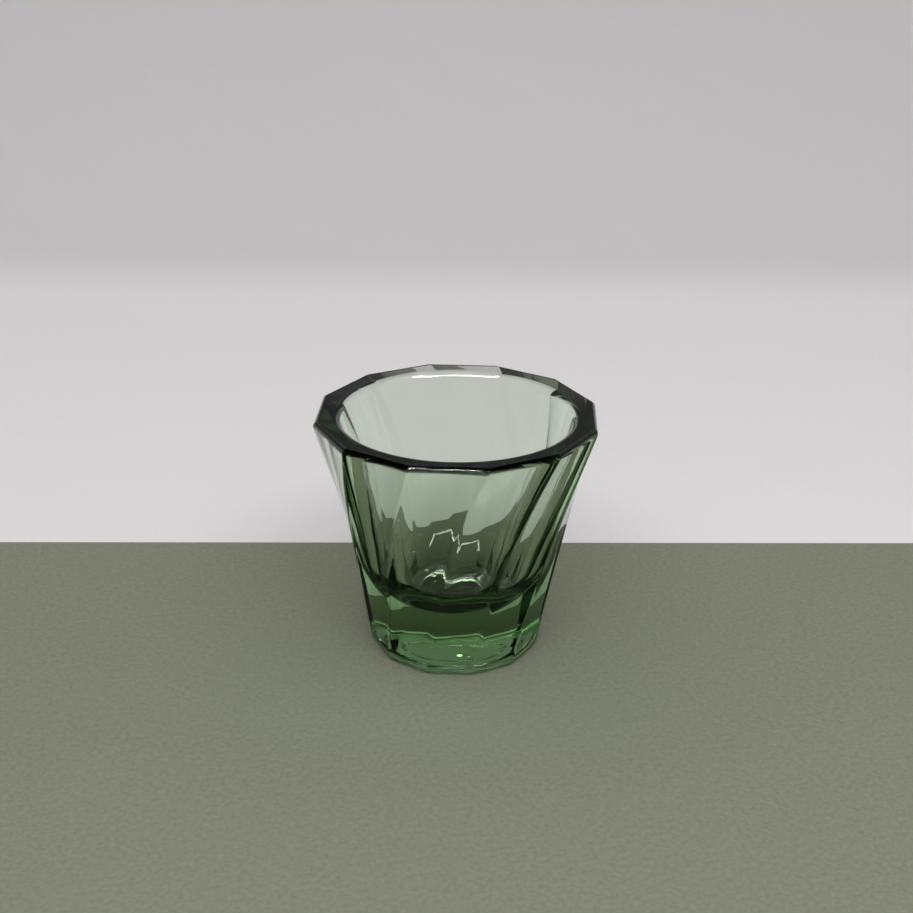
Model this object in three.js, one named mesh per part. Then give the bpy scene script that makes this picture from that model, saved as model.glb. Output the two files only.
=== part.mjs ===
// A small heavy-bottomed tumbler of pressed green glass, in one piece.
// Outside it is a tapered twelve-sided cup whose ridges wind round it; inside it is a smooth round hollow.
// Millimetres, +Z up. The origin is on the axis, on the surface that the glass stands on.
import * as THREE from "three";

// Outside
const SIDES = 12; // flat facets round the glass
const HEIGHT = 58; // standing surface to the top of the rim
const RIM_ACROSS_RIDGES = 66.6; // outer wall carried up to the rim's height, ridge to ridge
const BASE_ACROSS_RIDGES = 40.4; // outer wall carried down to the standing surface, ridge to ridge
const WAIST_DEPTH = 0.95; // how far the wall is drawn in from a straight taper at half height
const TWIST = 31.5; // degrees that a ridge turns, clockwise seen from above, from rim to base
const TWIST_LEAD = 2; // degrees by which that turn runs ahead of an even one at half height
const RIDGE_RADIUS = 3; // rounding of the ridges between facets
const RIM_RIDGE_RADIUS = 0.6; // sharper rounding that the ridges reach at the rim
const RIDGE_FADE = 18; // height below the rim over which the ridges sharpen
const BASE_EDGE_RADIUS = 1.5; // rounding of the bottom edge

// Rim
const RIM_WALL = 5.3; // glass at the rim, in the middle of a facet
const RIM_OUTER_RADIUS = 1.7; // fire-polished outer edge
const RIM_OUTER_ARC = 75; // degrees that this edge turns, up to the crest of the rim
const RIM_INNER_RADIUS = 2.1; // fire-polished inner edge
const RIM_FALL = 0.2; // how far the inner edge lies below the crest

// Hollow
const FLOOR_THICKNESS = 13.8; // solid glass under the hollow
const FLOOR_WALL = 7.95; // glass beside the hollow at its floor, in the middle of a facet
const FLOOR_FILLET = 14; // rounding between the hollow's wall and its floor

// Underside
const STANDING_RING = 4; // width of the flat ring that the glass stands on, in the middle of a facet
const RECESS_DEPTH = 0.8; // hollow of the underside, inside that ring
const RECESS_SLOPE = 1.6; // width of the slope at the recess's edge

// Fineness of the faceted surface
const RIDGE_STEPS = 2; // chords across a ridge's rounding
const FACET_STEPS = 3; // chords across a facet
const EDGE_STEPS = 5; // chords along an edge's rounding
const FILLET_STEPS = 9; // chords along the floor's rounding
const WALL_STEPS = 14; // levels up the twisted outer wall
const BORE_STEPS = 3; // levels down the hollow's straight wall

const HALF_SIDE = Math.PI / SIDES;
const QUARTER_TURN = Math.PI / 2;
const OUTER_ARC = THREE.MathUtils.degToRad(RIM_OUTER_ARC);

// Distance from the axis to the middle of a facet, for a given size across the ridges.
function facetDistance(acrossRidges) {
  return (acrossRidges / 2) * Math.cos(HALF_SIDE);
}

// Rises from 0 at both ends to 1 at half height.
function swell(share) {
  return 4 * share * (1 - share);
}

// Outer wall: distance from the axis to the middle of a facet at height z.
function wallDistance(z) {
  const share = z / HEIGHT;
  const base = facetDistance(BASE_ACROSS_RIDGES);
  const rim = facetDistance(RIM_ACROSS_RIDGES);
  return base + (rim - base) * share - WAIST_DEPTH * swell(share);
}

// Angle of the first ridge at height z. It is 0 at the rim, so ridges meet the rim on the axes.
function ridgeTurn(z) {
  const share = z / HEIGHT;
  const degrees = TWIST * (1 - share) + TWIST_LEAD * swell(share);
  return -THREE.MathUtils.degToRad(degrees);
}

// Rounding of the ridges at height z: even up the glass, then sharper towards the rim.
function ridgeRadius(z) {
  return THREE.MathUtils.lerp(
    RIM_RIDGE_RADIUS,
    RIDGE_RADIUS,
    THREE.MathUtils.smoothstep(HEIGHT - z, 0, RIDGE_FADE),
  );
}

function fromAxis(angle, distance, z) {
  return new THREE.Vector3(distance * Math.cos(angle), distance * Math.sin(angle), z);
}

// Level ring of the twelve-sided outside, with rounded ridges.
function polygonRing(distance, turn, z) {
  const ring = [];
  const radius = ridgeRadius(z);
  const ridgeCentre = (distance - radius) / Math.cos(HALF_SIDE);
  for (let side = 0; side < SIDES; side++) {
    const ridge = turn + 2 * HALF_SIDE * side;
    const onRidge = (centreAngle, angle) =>
      fromAxis(centreAngle, ridgeCentre, z).add(fromAxis(angle, radius, 0));
    for (let step = 0; step <= RIDGE_STEPS; step++) {
      ring.push(onRidge(ridge, ridge + HALF_SIDE * ((2 * step) / RIDGE_STEPS - 1)));
    }
    const facetStart = ring.at(-1);
    const facetEnd = onRidge(ridge + 2 * HALF_SIDE, ridge + HALF_SIDE);
    for (let step = 1; step < FACET_STEPS; step++) {
      ring.push(facetStart.clone().lerp(facetEnd, step / FACET_STEPS));
    }
  }
  return ring;
}

// Ring of the outer wall at height z, moved in by inset where an edge is rounded.
function wallRing(z, inset) {
  return polygonRing(wallDistance(z) - inset, ridgeTurn(z), z);
}

// Round ring whose points face those of the twelve-sided ring beside it.
function roundRing(radius, z, besideZ) {
  return wallRing(besideZ, 0).map((point) => fromAxis(Math.atan2(point.y, point.x), radius, z));
}

// Underside: a shallow round recess inside the flat standing ring.
function undersideRings() {
  const edge = wallDistance(0) - BASE_EDGE_RADIUS;
  const recessRadius = edge - STANDING_RING;
  return [
    roundRing(recessRadius - RECESS_SLOPE, RECESS_DEPTH, 0),
    roundRing(recessRadius, 0, 0),
    wallRing(0, BASE_EDGE_RADIUS),
  ];
}

// Outside: rounded bottom edge, twisted wall, rounded outer edge of the rim up to its crest.
function outsideRings() {
  const rings = [];
  for (let step = 1; step < EDGE_STEPS; step++) {
    const angle = (QUARTER_TURN * step) / EDGE_STEPS;
    const inset = BASE_EDGE_RADIUS * (1 - Math.sin(angle));
    rings.push(wallRing(BASE_EDGE_RADIUS * (1 - Math.cos(angle)), inset));
  }
  const wallTop = HEIGHT - RIM_OUTER_RADIUS * Math.sin(OUTER_ARC);
  for (let step = 0; step <= WALL_STEPS; step++) {
    rings.push(wallRing(BASE_EDGE_RADIUS + ((wallTop - BASE_EDGE_RADIUS) * step) / WALL_STEPS, 0));
  }
  for (let step = 1; step <= EDGE_STEPS; step++) {
    const angle = (OUTER_ARC * step) / EDGE_STEPS;
    const inset = RIM_OUTER_RADIUS * (1 - Math.cos(angle));
    rings.push(wallRing(wallTop + RIM_OUTER_RADIUS * Math.sin(angle), inset));
  }
  return rings;
}

// Hollow: rounded inner edge of the rim, straight tapered wall, rounding down to a flat floor.
// The top of the rim falls straight from the crest to that inner edge.
function hollowRings() {
  const mouth = wallDistance(HEIGHT) - RIM_WALL;
  const floorRadius = wallDistance(FLOOR_THICKNESS) - FLOOR_WALL;
  const lean = Math.atan2(mouth - floorRadius, HEIGHT - FLOOR_THICKNESS);
  const rings = [];

  // The edge's centre lies in the glass, one radius from the wall and from the sloping top.
  const edgeDepth = RIM_FALL + RIM_INNER_RADIUS;
  const edgeZ = HEIGHT - edgeDepth;
  const edgeCentre = mouth - edgeDepth * Math.tan(lean) + RIM_INNER_RADIUS / Math.cos(lean);
  const crestToCentre = RIM_WALL - (edgeCentre - mouth) - RIM_OUTER_RADIUS * (1 - Math.cos(OUTER_ARC));
  const topSlope =
    Math.atan2(edgeDepth, crestToCentre) - Math.asin(RIM_INNER_RADIUS / Math.hypot(edgeDepth, crestToCentre));
  for (let step = 0; step <= EDGE_STEPS; step++) {
    const angle = QUARTER_TURN + topSlope + ((QUARTER_TURN - lean - topSlope) * step) / EDGE_STEPS;
    const radius = edgeCentre + RIM_INNER_RADIUS * Math.cos(angle);
    rings.push(roundRing(radius, edgeZ + RIM_INNER_RADIUS * Math.sin(angle), HEIGHT));
  }

  // The fillet's centre lies in the hollow, one radius from the wall and above the floor.
  // The fillet is limited by the floor that it runs into.
  const fillet = Math.min(FLOOR_FILLET, floorRadius / (1 / Math.cos(lean) - Math.tan(lean)));
  const filletZ = FLOOR_THICKNESS + fillet;
  const filletCentre = floorRadius + fillet * Math.tan(lean) - fillet / Math.cos(lean);
  const wallEnd = { radius: filletCentre + fillet * Math.cos(lean), z: filletZ - fillet * Math.sin(lean) };
  const wallStart = {
    radius: edgeCentre - RIM_INNER_RADIUS * Math.cos(lean),
    z: edgeZ + RIM_INNER_RADIUS * Math.sin(lean),
  };
  for (let step = 1; step < BORE_STEPS; step++) {
    const share = step / BORE_STEPS;
    const radius = THREE.MathUtils.lerp(wallStart.radius, wallEnd.radius, share);
    rings.push(roundRing(radius, THREE.MathUtils.lerp(wallStart.z, wallEnd.z, share), HEIGHT));
  }
  for (let step = 0; step < FILLET_STEPS; step++) {
    const angle = -lean - ((QUARTER_TURN - lean) * step) / FILLET_STEPS;
    const radius = filletCentre + fillet * Math.cos(angle);
    rings.push(roundRing(radius, filletZ + fillet * Math.sin(angle), HEIGHT));
  }
  return rings;
}

// One closed skin: from the underside's middle up the outside, over the rim and down to the floor's middle.
function closedSkin(undersideZ, rings, floorZ) {
  const count = rings[0].length;
  const points = [new THREE.Vector3(0, 0, undersideZ), ...rings.flat(), new THREE.Vector3(0, 0, floorZ)];
  const at = (ring, place) => 1 + ring * count + (place % count);
  const lastRing = rings.length - 1;
  const faces = [];
  for (let place = 0; place < count; place++) {
    faces.push(0, at(0, place + 1), at(0, place));
    for (let ring = 0; ring < lastRing; ring++) {
      faces.push(at(ring, place), at(ring, place + 1), at(ring + 1, place + 1));
      faces.push(at(ring, place), at(ring + 1, place + 1), at(ring + 1, place));
    }
    faces.push(at(lastRing, place), at(lastRing, place + 1), points.length - 1);
  }
  const skin = new THREE.BufferGeometry().setFromPoints(points).setIndex(faces);
  skin.computeVertexNormals();
  return skin;
}

const greenGlass = new THREE.MeshStandardMaterial({
  color: 0xa9c2a2,
  roughness: 0.04,
  metalness: 0,
  transparent: true,
  opacity: 0.35,
});

const tumbler = new THREE.Mesh(
  closedSkin(RECESS_DEPTH, [...undersideRings(), ...outsideRings(), ...hollowRings()], FLOOR_THICKNESS),
  greenGlass,
);
tumbler.name = "tumbler";

const drinkingGlass = new THREE.Group();
drinkingGlass.add(tumbler);

export default drinkingGlass;
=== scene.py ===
"""Looks of the green pressed-glass tumbler, in the CAD part's frame, in metres."""
import math

import bpy
import numpy as np
from mathutils import Matrix, Vector


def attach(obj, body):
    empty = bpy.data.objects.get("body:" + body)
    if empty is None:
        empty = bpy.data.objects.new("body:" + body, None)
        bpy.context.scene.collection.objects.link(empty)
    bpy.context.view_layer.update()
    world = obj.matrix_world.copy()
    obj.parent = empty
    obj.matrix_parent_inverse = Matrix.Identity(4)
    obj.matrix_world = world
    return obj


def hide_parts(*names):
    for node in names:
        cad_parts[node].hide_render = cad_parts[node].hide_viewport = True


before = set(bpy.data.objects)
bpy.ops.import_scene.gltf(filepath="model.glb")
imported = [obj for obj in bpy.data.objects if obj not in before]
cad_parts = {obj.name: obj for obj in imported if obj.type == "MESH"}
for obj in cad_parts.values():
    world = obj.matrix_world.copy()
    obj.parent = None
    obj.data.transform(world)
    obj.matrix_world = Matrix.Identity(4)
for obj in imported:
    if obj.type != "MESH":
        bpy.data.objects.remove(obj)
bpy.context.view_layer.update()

MM = 0.001

# Outside of the glass, in millimetres and degrees, as in the CAD part
SIDES = 12
HEIGHT = 58
RIM_ACROSS_RIDGES = 66.6
BASE_ACROSS_RIDGES = 40.4
WAIST_DEPTH = 0.95
TWIST = 31.5
TWIST_LEAD = 2
RIDGE_RADIUS = 3
RIM_RIDGE_RADIUS = 0.6
RIDGE_FADE = 18
BASE_EDGE_RADIUS = 1.5

# Rim, hollow and underside, in millimetres and degrees, as in the CAD part
RIM_WALL = 5.3
RIM_OUTER_RADIUS = 1.7
RIM_OUTER_ARC = 75
RIM_INNER_RADIUS = 2.1
RIM_FALL = 0.2
FLOOR_THICKNESS = 13.8
FLOOR_WALL = 7.95
FLOOR_FILLET = 14
STANDING_RING = 4
RECESS_DEPTH = 0.8
RECESS_SLOPE = 1.6

# Fine shapes of the looks alone, in millimetres: bowled floor, ring of dimples and waves under the base
FLOOR_BOWL = 50
STIPPLE_RADIUS = 8
STIPPLE_COUNT = 44
STIPPLE_SIZE = 0.55
STIPPLE_DEPTH = 0.22
WAVE_HEIGHT = 0.05

# Waves under the base: radians a millimetre along X and along Y, and radians at the middle
WAVES = ((0.9, 0.35, 0), (0.3, -0.8, 1), (0.65, 0.75, 2), (-2.3, 0.9, 4))

# Steps of the smooth mesh, and the spacing of rings under the base in millimetres
RIDGE_STEPS = 10
FACET_STEPS = 12
EDGE_STEPS = 16
TOP_STEPS = 8
FILLET_STEPS = 24
BOWL_STEPS = 12
WALL_STEPS = 60
BORE_STEPS = 30
RECESS_STEPS = 6
RECESS_SPACING = 0.25
RING_STEPS = 6

# Glass: its bending of light, its green, and fine unevenness, smudges and wear, with scales in waves a metre
GLASS_IOR = 1.52
ABSORPTION_COLOUR = (0.125, 0.5, 0)
ABSORPTION_DENSITY = 39
RIPPLE_HEIGHT = 0.07
RIPPLE_SCALE = 130
RIPPLE_DETAIL = 1
SMUDGE_ROUGHNESS = (0, 0.015)
SMUDGE_SCALE = 60
WORN_ROUGHNESS = (0.3, 0.55)
WORN_SCALE = 260
WORN_HEIGHT = 0.25
WORN_FADE = 0.25
NOISE_DETAIL = 3
NOISE_LOW = 0.3
NOISE_HIGH = 0.7

# Camera from the photograph, in millimetres, degrees and pixels
PICTURE_WIDTH = 913
FOCAL_PIXELS = 1433
SENSOR_WIDTH = 36
CLIP_START = 10
CAMERA_DISTANCE = 339.3
CAMERA_ELEVATION = 26.84
CAMERA_AZIMUTH = -12.77
CAMERA_DOWN = 23.68
CAMERA_ROLL = 0.57
AIM_HEIGHT = 26.4

# Stage in millimetres and degrees: a table, and behind its edge a pale floor that sweeps up
FLOOR_GAP = 0.05
EDGE_BEHIND = 48
EDGE_TURN = 1.1
STAGE_REACH = 2000
SWEEP_START = 240
SWEEP_RADIUS = 260
SWEEP_ANGLE = 65
SWEEP_STEPS = 24

# Colours of the stage, with mottling, painted shade that dims the sweep, and the painted shares of its
# colour that the glass mirrors
TABLE_COLOUR = (0.229, 0.24, 0.179)
BACKDROP_COLOUR = (0.795, 0.775, 0.78)
STAGE_ROUGHNESS = 0.9
MOTTLING_SCALE = 900
TABLE_MOTTLING = 0.1
BACKDROP_MOTTLING = 0.01
# Painted shade: height in millimetres over which the sweep's colour darkens, and the share of it left above
PAINTED_SHADE_HEIGHT = 9
PAINTED_SHADE_SHARE = 0.83
# Painted reflection: share of each colour that rays mirrored by the glass see, a quarter for the table and
# all of it for the backdrop
TABLE_PAINTED_MIRROR = 0.25
BACKDROP_PAINTED_MIRROR = 1

# Surroundings: a plain level, and the levels that the glass shows by degrees above the horizon
AMBIENT_LEVEL = 0.65
WORLD_LEVELS = ((0, 0.5), (11, 0.5), (15, 0.12), (22, 0.12), (27, 0.33), (36, 0.33), (44, 0.08), (90, 0.03))

# Share of those levels off to the sides, and how far towards straight behind it gives way to all of them
AROUND_SHARE = 0.15
BEHIND_FROM = 0.1
BEHIND_TO = 0.6

# Bars of light in millimetres, with their levels
LAMP_HEIGHT = 480
FRONT_WIDTH = 36
FRONT_LEVEL = 110
FLOOR_WIDTH = 18
FAR_WIDTH = 20
FAR_LEVEL = 50
UPPER_WIDTH = 10
BASE_WIDTH = 10
BASE_LEVEL = 8
GLOW_HEIGHT = 25
GLOW_WIDTH = 8
GLOW_LEVEL = 1.8
GLOW_COLOUR = (0.5, 1, 0.8)

# Name, start, end (to the right and away, as in the photograph) and level on the floor
FRONT_BARS = (
    ("front_bar", (-228, -373), (280, -373), 44),
    ("left_bar", (-219, -373), (-219, -93), 6),
    ("right_bar", (256, -373), (256, -93), 14),
)

# Name, start, end and width
FAR_BARS = (
    ("far_bar", (-146, 753), (196, 569), FAR_WIDTH),
    ("second_far_bar", (-133, 685), (179, 520), FAR_WIDTH),
    ("upper_bar", (-67, 478), (85, 475), UPPER_WIDTH),
)

# Start and end of the bar that shows low in the base, and of the green light before the glass
BASE_BAR = ((-120, 640), (150, 560))
GLOW_BAR = ((-28, -48), (16, -48))

# Fewest and most bounces of the light that shows each kind of bar, and a number between no bounce and one
FRONT_BOUNCES = (1, 5)
FAR_PASSES = (4, 4)
BASE_BOUNCES = (4, 4)
UNDER_ONE = 0.5

# Angles in radians, the turn of the photograph's view, and white as nodes take it
HALF_SIDE = math.pi / SIDES
QUARTER_TURN = math.pi / 2
HALF_TURN = math.pi
RIM_ARC = math.radians(RIM_OUTER_ARC)
VIEW_TURN = Matrix.Rotation(math.radians(CAMERA_AZIMUTH), 4, "Z")
WHITE = (1, 1, 1, 1)


def facet_distance(across_ridges):
    """Distance from the axis to a facet, from the size across the sharp ridges."""
    return across_ridges / 2 * math.cos(HALF_SIDE)


def swell(share):
    """Nothing at both ends and one in the middle."""
    return 4 * share * (1 - share)


def smooth(share):
    """Share that starts and ends level."""
    return share * share * (3 - 2 * share)


def crowded(share):
    """Share of a stretch whose steps get shorter towards both its ends."""
    return (1 - math.cos(math.pi * share)) / 2


def wall_distance(z):
    """Distance from the axis to the facets at a height."""
    share = z / HEIGHT
    base = facet_distance(BASE_ACROSS_RIDGES)
    rim = facet_distance(RIM_ACROSS_RIDGES)
    return base + (rim - base) * share - WAIST_DEPTH * swell(share)


def ridge_turn(z):
    """Turn of the ridges at a height, from where they meet the rim."""
    share = z / HEIGHT
    return -math.radians(TWIST * (1 - share) + TWIST_LEAD * swell(share))


def from_axis(angle, distance, z):
    return np.array([distance * math.cos(angle), distance * math.sin(angle), z])


def between(start, end, steps):
    """Rings or points strictly between two others, crowded at both ends."""
    return [start + (end - start) * crowded(step / steps) for step in range(1, steps)]


def wall_ring(z, inset):
    """Ring of the faceted outside at a height, moved in by an inset."""
    ring = []
    distance = wall_distance(z) - inset
    turn = ridge_turn(z)
    fade = min(1, (HEIGHT - z) / RIDGE_FADE)
    radius = RIM_RIDGE_RADIUS + (RIDGE_RADIUS - RIM_RIDGE_RADIUS) * smooth(fade)
    centre = (distance - radius) / math.cos(HALF_SIDE)
    for side in range(SIDES):
        ridge = turn + 2 * HALF_SIDE * side
        for step in range(RIDGE_STEPS + 1):
            angle = ridge + HALF_SIDE * (2 * step / RIDGE_STEPS - 1)
            ring.append(from_axis(ridge, centre, z) + from_axis(angle, radius, 0))
        next_ridge = ridge + 2 * HALF_SIDE
        end = from_axis(next_ridge, centre, z) + from_axis(ridge + HALF_SIDE, radius, 0)
        ring.extend(between(ring[-1], end, FACET_STEPS))
    return np.array(ring)


def round_ring(radius, z, beside_z):
    """Circle whose points lie in line with those of the outside at another height."""
    beside = wall_ring(beside_z, 0)
    scale = radius / np.hypot(beside[:, 0], beside[:, 1])
    return np.column_stack([beside[:, 0] * scale, beside[:, 1] * scale, np.full(len(beside), z)])


def pressed(ring):
    """Underside ring with slight waves and a ring of small dimples."""
    x, y = ring[:, 0], ring[:, 1]
    waves = sum(np.sin(a * x + b * y + c) for a, b, c in WAVES) / len(WAVES)
    spacing = 2 * math.pi / STIPPLE_COUNT
    along = (np.arctan2(y, x) + math.pi) % spacing - spacing / 2
    away = np.hypot(np.hypot(x, y) - STIPPLE_RADIUS, along * STIPPLE_RADIUS)
    dimples = (1 + np.cos(math.pi * np.minimum(away / STIPPLE_SIZE, 1))) / 2
    ring[:, 2] += WAVE_HEIGHT * (1 + waves) + STIPPLE_DEPTH * dimples
    return ring


def underside_middle():
    """Height of the middle of the underside."""
    return pressed(np.array([[0.0, 0.0, RECESS_DEPTH]]))[0, 2]


def underside_rings():
    """Rings from near the middle of the recess out to the edge of the standing ring."""
    recess = wall_distance(0) - BASE_EDGE_RADIUS - STANDING_RING
    inner = recess - RECESS_SLOPE
    count = round(inner / RECESS_SPACING)
    rings = [pressed(round_ring(inner * step / count, RECESS_DEPTH, 0)) for step in range(1, count)]
    for step in range(RECESS_STEPS):
        share = step / RECESS_STEPS
        rings.append(round_ring(inner + RECESS_SLOPE * share, RECESS_DEPTH * (1 - crowded(share)), 0))
    inside = round_ring(recess, 0, 0)
    outside = wall_ring(0, BASE_EDGE_RADIUS)
    return rings + [inside] + between(inside, outside, RING_STEPS) + [outside]


def outside_rings():
    """Rings up the outside, from above the base's edge to the rim's crest."""
    rings = []
    for step in range(1, EDGE_STEPS):
        angle = QUARTER_TURN * step / EDGE_STEPS
        z = BASE_EDGE_RADIUS * (1 - math.cos(angle))
        rings.append(wall_ring(z, BASE_EDGE_RADIUS * (1 - math.sin(angle))))
    wall_top = HEIGHT - RIM_OUTER_RADIUS * math.sin(RIM_ARC)
    for step in range(WALL_STEPS + 1):
        share = crowded(step / WALL_STEPS)
        rings.append(wall_ring(BASE_EDGE_RADIUS + (wall_top - BASE_EDGE_RADIUS) * share, 0))
    for step in range(1, EDGE_STEPS + 1):
        angle = RIM_ARC * step / EDGE_STEPS
        z = wall_top + RIM_OUTER_RADIUS * math.sin(angle)
        rings.append(wall_ring(z, RIM_OUTER_RADIUS * (1 - math.cos(angle))))
    return rings


def on_arc(centre, radius, angle):
    """Distance from the axis and height of a point on an arc of the hollow's profile."""
    return centre + radius * np.array([math.cos(angle), math.sin(angle)])


def profile_rings(points):
    """Circles of the hollow from distances from the axis and heights."""
    return [round_ring(distance, z, HEIGHT) for distance, z in points]


def arc_rings(centre, radius, angles):
    return profile_rings([on_arc(centre, radius, angle) for angle in angles])


def rim_edge(mouth, lean):
    """Middle of the arc round the rim's inner edge."""
    drop = RIM_FALL + RIM_INNER_RADIUS
    distance = mouth - drop * math.tan(lean) + RIM_INNER_RADIUS / math.cos(lean)
    return np.array([distance, HEIGHT - drop])


def rim_rings(edge, lean):
    """Rings from the rim's crest across its top and round its inner edge."""
    crest = wall_distance(HEIGHT) - RIM_OUTER_RADIUS * (1 - math.cos(RIM_ARC))
    crest_ring = wall_ring(HEIGHT, wall_distance(HEIGHT) - crest)
    across = crest - edge[0]
    rise = HEIGHT - edge[1]
    slope = math.atan2(rise, across) - math.asin(RIM_INNER_RADIUS / math.hypot(rise, across))
    angles = np.linspace(QUARTER_TURN + slope, HALF_TURN - lean, EDGE_STEPS + 1)
    inner = arc_rings(edge, RIM_INNER_RADIUS, angles)
    return between(crest_ring, inner[0], TOP_STEPS) + inner


def floor_rings(fillet, radius, lean):
    """Rings round the floor's fillet and in over its bowl, and the height of the bowl's middle."""
    tilt = math.asin(fillet[0] / (FLOOR_BOWL - radius))
    bowl = np.array([0, fillet[1] + (FLOOR_BOWL - radius) * math.cos(tilt)])
    fillet_angles = np.linspace(-lean, tilt - QUARTER_TURN, FILLET_STEPS, endpoint=False)
    bowl_angles = np.linspace(tilt - QUARTER_TURN, -QUARTER_TURN, BOWL_STEPS, endpoint=False)
    rings = arc_rings(fillet, radius, fillet_angles) + arc_rings(bowl, FLOOR_BOWL, bowl_angles)
    return rings, bowl[1] - FLOOR_BOWL


def hollow_rings():
    """Rings from the rim's crest down to the floor, and the height of the floor's middle."""
    mouth = wall_distance(HEIGHT) - RIM_WALL
    floor = wall_distance(FLOOR_THICKNESS) - FLOOR_WALL
    lean = math.atan2(mouth - floor, HEIGHT - FLOOR_THICKNESS)
    edge = rim_edge(mouth, lean)
    radius = min(FLOOR_FILLET, floor / (1 / math.cos(lean) - math.tan(lean)))
    fillet_distance = floor + radius * math.tan(lean) - radius / math.cos(lean)
    fillet = np.array([fillet_distance, FLOOR_THICKNESS + radius])
    wall_top = on_arc(edge, RIM_INNER_RADIUS, HALF_TURN - lean)
    wall_foot = on_arc(fillet, radius, -lean)
    bore = profile_rings(between(wall_top, wall_foot, BORE_STEPS))
    floor_part, middle_z = floor_rings(fillet, radius, lean)
    return rim_rings(edge, lean) + bore + floor_part, middle_z


def new_piece(name, points, faces):
    """Smooth mesh as an object in the scene."""
    mesh = bpy.data.meshes.new(name)
    mesh.from_pydata(points, [], faces)
    mesh.shade_smooth()
    piece = bpy.data.objects.new(name, mesh)
    bpy.context.scene.collection.objects.link(piece)
    return piece


def closed_skin(name, underside_z, rings, floor_z):
    """Skin through the rings in turn, closed by a point on the axis at each end."""
    count = len(rings[0])
    points = np.vstack([[[0, 0, underside_z]], *rings, [[0, 0, floor_z]]]) * MM
    here = np.arange(len(rings) * count).reshape(-1, count) + 1
    beside = np.roll(here, -1, axis=1)
    quads = np.stack([here[:-1], beside[:-1], beside[1:], here[1:]], axis=-1)
    faces = quads.reshape(-1, 4).tolist()
    for point, next_point in zip(here[0].tolist(), beside[0].tolist()):
        faces.append((0, next_point, point))
    for point, next_point in zip(here[-1].tolist(), beside[-1].tolist()):
        faces.append((point, next_point, len(points) - 1))
    return new_piece(name, points.tolist(), faces)


def feed(tree, socket, value):
    """Joins an input to another node's output, or sets it to a plain value."""
    if isinstance(value, bpy.types.NodeSocket):
        tree.links.new(value, socket)
    else:
        socket.default_value = value


def add_node(tree, kind, inputs, **settings):
    """New node with its settings, and with its inputs set or joined."""
    node = tree.nodes.new("ShaderNode" + kind)
    for name, value in settings.items():
        setattr(node, name, value)
    for name, value in inputs.items():
        feed(tree, node.inputs[name], value)
    return node


def new_material(name):
    """Material with its node tree, and the object's own coordinates there."""
    material = bpy.data.materials.new(name)
    material.use_nodes = True
    tree = material.node_tree
    return material, tree, add_node(tree, "TexCoord", {}).outputs["Object"]


def set_surface(tree, inputs):
    """Sets or joins inputs of the tree's surface shader."""
    for name, value in inputs.items():
        feed(tree, tree.nodes["Principled BSDF"].inputs[name], value)


def noise_between(tree, place, scale, low, high):
    """Noise at so many waves a metre, spread from low to high."""
    noise = add_node(tree, "TexNoise", {"Vector": place, "Scale": scale, "Detail": NOISE_DETAIL})
    spread = add_node(tree, "MapRange", {
        "Value": noise.outputs["Fac"],
        "From Min": NOISE_LOW,
        "From Max": NOISE_HIGH,
        "To Min": low,
        "To Max": high,
    })
    return spread.outputs["Result"]


def glass_material():
    """Clear green glass, slightly uneven and smudged, worn rough where it stands."""
    material, tree, place = new_material("green_glass")
    split = add_node(tree, "SeparateXYZ", {"Vector": place})
    above = add_node(tree, "MapRange", {
        "Value": split.outputs["Z"],
        "From Min": WORN_HEIGHT * MM,
        "From Max": (WORN_HEIGHT + WORN_FADE) * MM,
    })
    roughness = add_node(tree, "Mix", {
        "Factor": above.outputs["Result"],
        "A": noise_between(tree, place, WORN_SCALE, *WORN_ROUGHNESS),
        "B": noise_between(tree, place, SMUDGE_SCALE, *SMUDGE_ROUGHNESS),
    })
    ripple = add_node(tree, "TexNoise", {"Vector": place, "Scale": RIPPLE_SCALE, "Detail": RIPPLE_DETAIL})
    uneven = add_node(tree, "Bump", {"Height": ripple.outputs["Fac"], "Distance": RIPPLE_HEIGHT * MM})
    set_surface(tree, {
        "Base Color": WHITE,
        "IOR": GLASS_IOR,
        "Transmission Weight": 1,
        "Roughness": roughness.outputs["Result"],
        "Normal": uneven.outputs["Normal"],
    })
    green = {"Color": (*ABSORPTION_COLOUR, 1), "Density": ABSORPTION_DENSITY}
    volume = add_node(tree, "VolumeAbsorption", green)
    tree.links.new(volume.outputs["Volume"], tree.nodes["Material Output"].inputs["Volume"])
    return material


def stage_material(name, colour, mottling, painted_mirror_share):
    """Matt mottled colour, with painted shade that dims it up the sweep, and painted to a set share where
    the glass mirrors it, deeper for the table.
    """
    material, tree, place = new_material(name)
    split = add_node(tree, "SeparateXYZ", {"Vector": place})
    # Painted shade: the colour darkens up the sweep to a set share, as if less light reached it
    painted_shade = add_node(tree, "MapRange", {
        "Value": split.outputs["Z"],
        "From Max": PAINTED_SHADE_HEIGHT * MM,
        "To Min": 1,
        "To Max": PAINTED_SHADE_SHARE,
    }, interpolation_type="SMOOTHSTEP")
    mottled = noise_between(tree, place, MOTTLING_SCALE, 1 - mottling, 1 + mottling)
    shade = add_node(tree, "Math", {0: mottled, 1: painted_shade.outputs["Result"]}, operation="MULTIPLY")
    # Painted reflection: rays mirrored by the glass see this set share of the colour instead of the mottled
    # and shaded one
    path = add_node(tree, "LightPath", {})
    seen = add_node(tree, "Mix", {
        "Factor": path.outputs["Is Reflection Ray"],
        "A": shade.outputs["Value"],
        "B": painted_mirror_share,
    })
    shaded = add_node(tree, "VectorMath", {0: colour, "Scale": seen.outputs["Result"]}, operation="SCALE")
    set_surface(tree, {
        "Base Color": shaded.outputs["Vector"],
        "Roughness": STAGE_ROUGHNESS,
        "Specular IOR Level": 0,
    })
    return material


def in_view(right, away, up):
    """Point from millimetres to the right, away from the camera and up, seen as in the photograph."""
    return VIEW_TURN @ Vector((right * MM, away * MM, up * MM))


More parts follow.
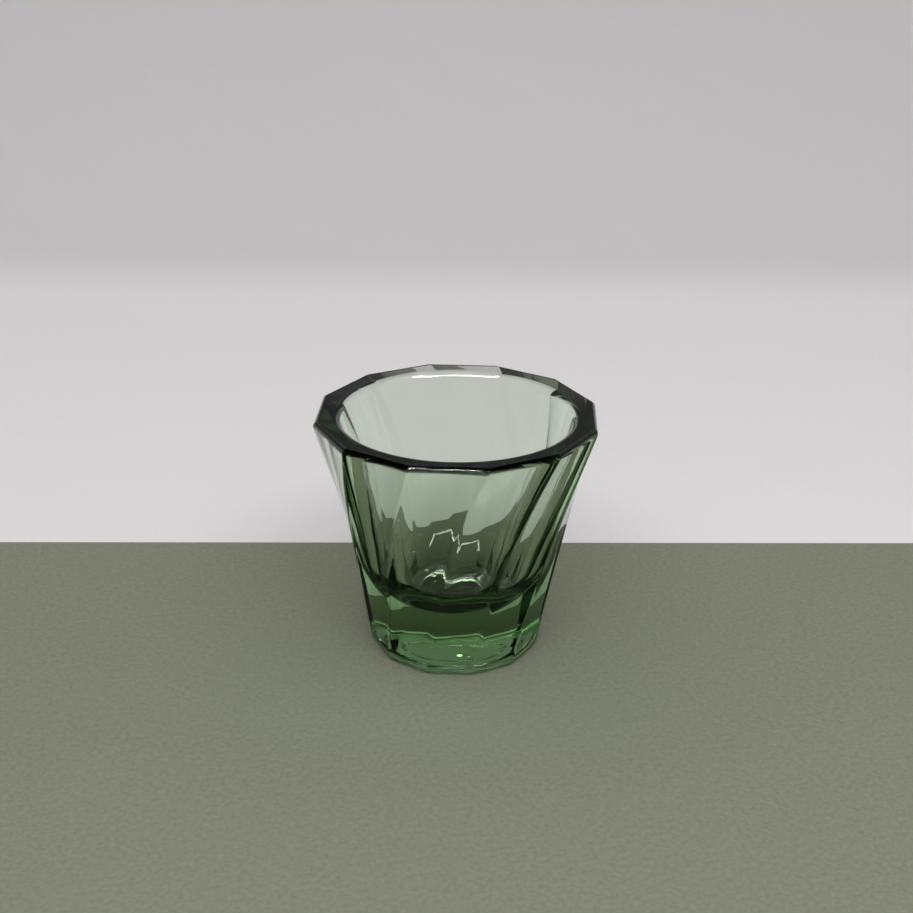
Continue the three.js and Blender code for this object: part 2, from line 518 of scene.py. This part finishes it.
def stage_sheet(name, profile, colour, mottling, painted_mirror_share):
    """Sheet swept sideways along (away, up) points; the edge behind the glass is turned a little."""
    slope = math.tan(math.radians(EDGE_TURN))
    points = []
    for away, up in profile:
        for right in (-STAGE_REACH, STAGE_REACH):
            turned = right * slope if away == EDGE_BEHIND else 0
            points.append(tuple(in_view(right, away + turned, up - FLOOR_GAP)))
    faces = [(2 * i, 2 * i + 1, 2 * i + 3, 2 * i + 2) for i in range(len(profile) - 1)]
    sheet = new_piece(name, points, faces)
    sheet.data.materials.append(stage_material(name, colour, mottling, painted_mirror_share))


def backdrop_profile():
    """Pale floor from the table's edge, and the sweep up behind it, as (away, up) points."""
    profile = [(EDGE_BEHIND, 0), (SWEEP_START, 0)]
    for step in range(1, SWEEP_STEPS + 1):
        angle = math.radians(SWEEP_ANGLE) * step / SWEEP_STEPS
        profile.append((SWEEP_START + SWEEP_RADIUS * math.sin(angle), SWEEP_RADIUS * (1 - math.cos(angle))))
    return profile


def strip_lamp(name, start, end, width, level, height=LAMP_HEIGHT):
    """Thin bar of light between two points at a height, turned to the glass."""
    start = in_view(*start, height)
    end = in_view(*end, height)
    along = end - start
    data = bpy.data.lights.new(name, "AREA")
    data.shape = "RECTANGLE"
    data.size = along.length
    data.size_y = width * MM
    data.energy = level * math.pi * along.length * width * MM
    lamp = bpy.data.objects.new(name, data)
    bpy.context.scene.collection.objects.link(lamp)
    middle = (start + end) / 2
    sideways = along.normalized()
    back = middle - Vector((0, 0, FLOOR_THICKNESS * MM))
    back = (back - back.dot(sideways) * sideways).normalized()
    turn = Matrix((sideways, back.cross(sideways), back)).transposed().to_4x4()
    lamp.matrix_world = Matrix.Translation(middle) @ turn
    lamp.visible_camera = False
    return lamp


def show_in_glass(lamp, count, fewest, most):
    """Shows a bar in the glass alone, to light with from fewest to most bounces of the kind counted."""
    lamp.visible_diffuse = False
    lamp.data.use_nodes = True
    tree = lamp.data.node_tree
    path = add_node(tree, "LightPath", {})
    direct = add_node(tree, "Math", {0: path.outputs["Diffuse Depth"], 1: UNDER_ONE}, operation="LESS_THAN")
    middle = (fewest + most) / 2
    reach = (most - fewest + 1) / 2
    chosen = add_node(tree, "Math", {0: path.outputs[count], 1: middle, 2: reach}, operation="COMPARE")
    both = {0: direct.outputs["Value"], 1: chosen.outputs["Value"]}
    shown = add_node(tree, "Math", both, operation="MULTIPLY")
    tree.links.new(shown.outputs["Value"], tree.nodes["Emission"].inputs["Strength"])


def light_floor(lamp):
    """Keeps a bar out of the glass, so that it only lights the floor."""
    lamp.visible_glossy = False
    lamp.visible_transmission = False


def light_world():
    """Plain to the camera and to matt surfaces; the glass shows levels by height, full only behind it."""
    world = bpy.data.worlds.new("studio")
    bpy.context.scene.world = world
    world.use_nodes = True
    tree = world.node_tree
    way = add_node(tree, "TexCoord", {}).outputs["Generated"]
    split = add_node(tree, "SeparateXYZ", {"Vector": way})
    ramp = add_node(tree, "ValToRGB", {"Fac": split.outputs["Z"]})
    steps = ramp.color_ramp.elements
    while len(steps) < len(WORLD_LEVELS):
        steps.new(1)
    for step, (elevation, level) in zip(steps, WORLD_LEVELS):
        step.position = math.sin(math.radians(elevation))
        step.color = (level, level, level, 1)
    straight_away = in_view(0, 1, 0).normalized()
    behind = add_node(tree, "VectorMath", {0: way, 1: straight_away}, operation="DOT_PRODUCT")
    share = add_node(tree, "MapRange", {
        "Value": behind.outputs["Value"],
        "From Min": BEHIND_FROM,
        "From Max": BEHIND_TO,
        "To Min": AROUND_SHARE,
        "To Max": 1,
    }, interpolation_type="SMOOTHSTEP")
    path = add_node(tree, "LightPath", {})
    matt_or_camera = {0: path.outputs["Is Diffuse Ray"], 1: path.outputs["Is Camera Ray"]}
    plain = add_node(tree, "Math", matt_or_camera, operation="MAXIMUM").outputs["Value"]
    level = add_node(tree, "Mix", {"Factor": plain, "A": share.outputs["Result"], "B": AMBIENT_LEVEL})
    tones = {"Factor": plain, "A": ramp.outputs["Color"], "B": WHITE}
    tone = add_node(tree, "Mix", tones, data_type="RGBA")
    background = tree.nodes["Background"]
    tree.links.new(tone.outputs["Result"], background.inputs["Color"])
    tree.links.new(level.outputs["Result"], background.inputs["Strength"])


def light_bars():
    """Bars that make the highlights in the glass, and bars that light the floor."""
    for name, start, end, floor_level in FRONT_BARS:
        show_in_glass(strip_lamp(name, start, end, FRONT_WIDTH, FRONT_LEVEL), "Ray Depth", *FRONT_BOUNCES)
        light_floor(strip_lamp(name + "_floor", start, end, FLOOR_WIDTH, floor_level))
    for name, start, end, width in FAR_BARS:
        show_in_glass(strip_lamp(name, start, end, width, FAR_LEVEL), "Transmission Depth", *FAR_PASSES)
    base_bar = strip_lamp("base_bar", *BASE_BAR, BASE_WIDTH, BASE_LEVEL)
    show_in_glass(base_bar, "Ray Depth", *BASE_BOUNCES)
    glow = strip_lamp("glow", *GLOW_BAR, GLOW_WIDTH, GLOW_LEVEL, GLOW_HEIGHT)
    glow.data.color = GLOW_COLOUR
    light_floor(glow)


def photo_camera():
    """Camera at the photograph's place and angle."""
    data = bpy.data.cameras.new("camera")
    data.sensor_width = SENSOR_WIDTH
    data.lens = SENSOR_WIDTH * FOCAL_PIXELS / PICTURE_WIDTH
    data.clip_start = CLIP_START * MM
    camera = bpy.data.objects.new("camera", data)
    bpy.context.scene.collection.objects.link(camera)
    elevation = math.radians(CAMERA_ELEVATION)
    rise = AIM_HEIGHT + CAMERA_DISTANCE * math.sin(elevation)
    place = in_view(0, -CAMERA_DISTANCE * math.cos(elevation), rise)
    tilt = Matrix.Rotation(QUARTER_TURN - math.radians(CAMERA_DOWN), 4, "X")
    roll = Matrix.Rotation(math.radians(CAMERA_ROLL), 4, "Z")
    camera.matrix_world = Matrix.Translation(place) @ VIEW_TURN @ tilt @ roll
    bpy.context.scene.camera = camera


hollow, hollow_floor = hollow_rings()
glass_rings = underside_rings() + outside_rings() + hollow
tumbler = closed_skin("glass", underside_middle(), glass_rings, hollow_floor)
tumbler.data.materials.append(glass_material())
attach(tumbler, "root")
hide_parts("tumbler")

table_profile = [(-STAGE_REACH, 0), (EDGE_BEHIND, 0)]
stage_sheet("table", table_profile, TABLE_COLOUR, TABLE_MOTTLING, TABLE_PAINTED_MIRROR)
stage_sheet("backdrop", backdrop_profile(), BACKDROP_COLOUR, BACKDROP_MOTTLING, BACKDROP_PAINTED_MIRROR)
light_world()
light_bars()
photo_camera()
bpy.context.scene.view_settings.view_transform = "Standard"
